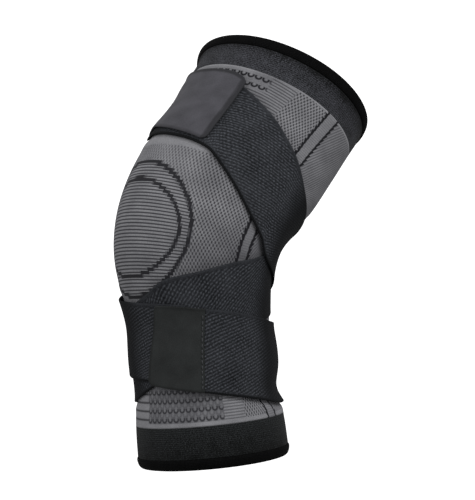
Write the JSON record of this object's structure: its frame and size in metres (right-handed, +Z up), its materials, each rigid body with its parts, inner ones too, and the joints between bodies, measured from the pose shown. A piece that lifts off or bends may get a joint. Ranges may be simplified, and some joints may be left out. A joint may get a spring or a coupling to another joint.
{
  "type": "knee sleeve",
  "caption": "Knitted knee sleeve with a grey tube, dark ribbed cuffs and two elastic straps that cross behind the knee and fasten with hook tabs.",
  "frame": {"origin": "centre of the knee, in the middle of the hollow that the leg fills", "axes": "+Z up along the calf, -Y forward to the kneecap, +X to the outer side of the leg"},
  "size_m": [0.1484, 0.1978, 0.2996],
  "materials": {
    "grey_knit": "dense elastic jacquard knit, dull",
    "charcoal_knit": "ribbed elastic knit, dull",
    "black_knit": "thick knitted edge, dull",
    "charcoal_elastic": "woven elastic webbing with a slanted twill",
    "hook_fabric": "smooth brushed backing of a hook tab"
  },
  "bodies": {
    "root": {"sleeve_body": "grey_knit", "top_cuff": "charcoal_knit", "top_welt": "black_knit", "bottom_cuff": "charcoal_knit", "bottom_welt": "black_knit", "rising_strap": "charcoal_elastic", "falling_strap": "charcoal_elastic", "upper_hook_tab": "hook_fabric", "lower_hook_tab": "hook_fabric"}
  },
  "joints": []
}
